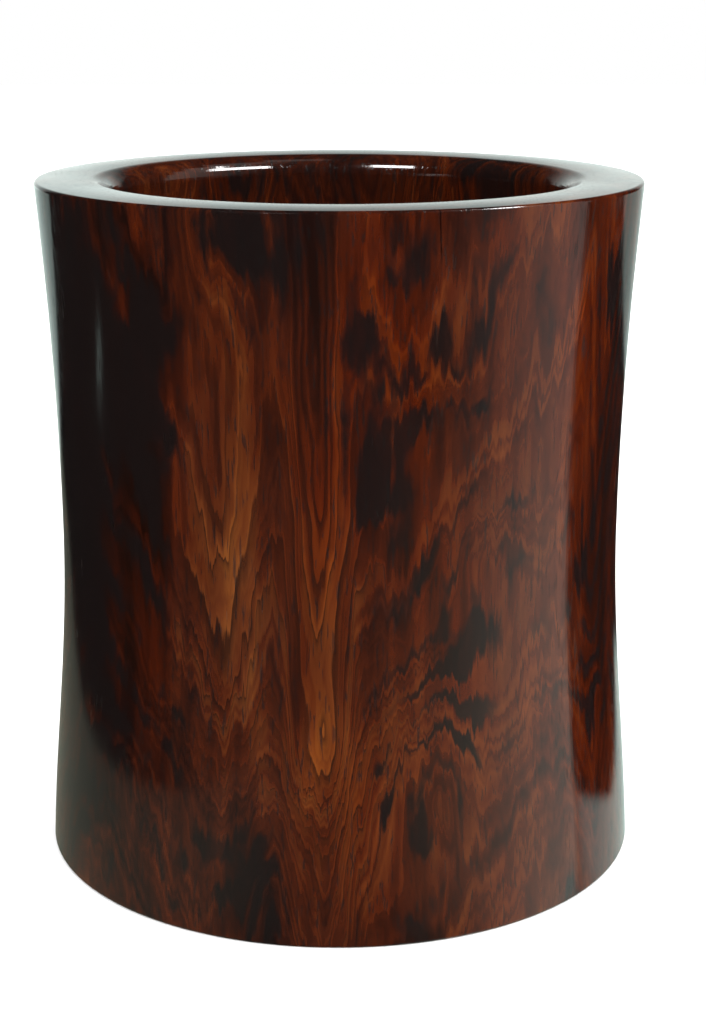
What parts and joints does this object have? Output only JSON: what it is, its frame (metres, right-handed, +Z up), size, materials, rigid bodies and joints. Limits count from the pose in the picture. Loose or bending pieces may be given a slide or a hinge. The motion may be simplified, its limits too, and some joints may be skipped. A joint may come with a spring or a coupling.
{
  "type": "brush holder pot",
  "caption": "Waisted cylindrical brush pot with a thick, rounded rim, turned from a dark rosewood log, with a let-in base disc and a tapered pith plug.",
  "frame": {"origin": "middle of the foot's resting face, on the pot's axis", "axes": "+Z up along the pot's axis towards the rim; the side with the boldest figure faces -Y"},
  "size_m": [0.1779, 0.1778, 0.2],
  "materials": {
    "rosewood_wall": "polished dark red-brown and black figured rosewood, waxed to a high gloss",
    "rosewood_disc": "end-grain rosewood, scraped smooth and waxed to a low satin",
    "rosewood_plug": "rosewood, cut flush and waxed to a low satin"
  },
  "bodies": {
    "root": {"pot_wall": "rosewood_wall", "base_disc": "rosewood_disc", "pith_plug": "rosewood_plug"}
  },
  "joints": []
}
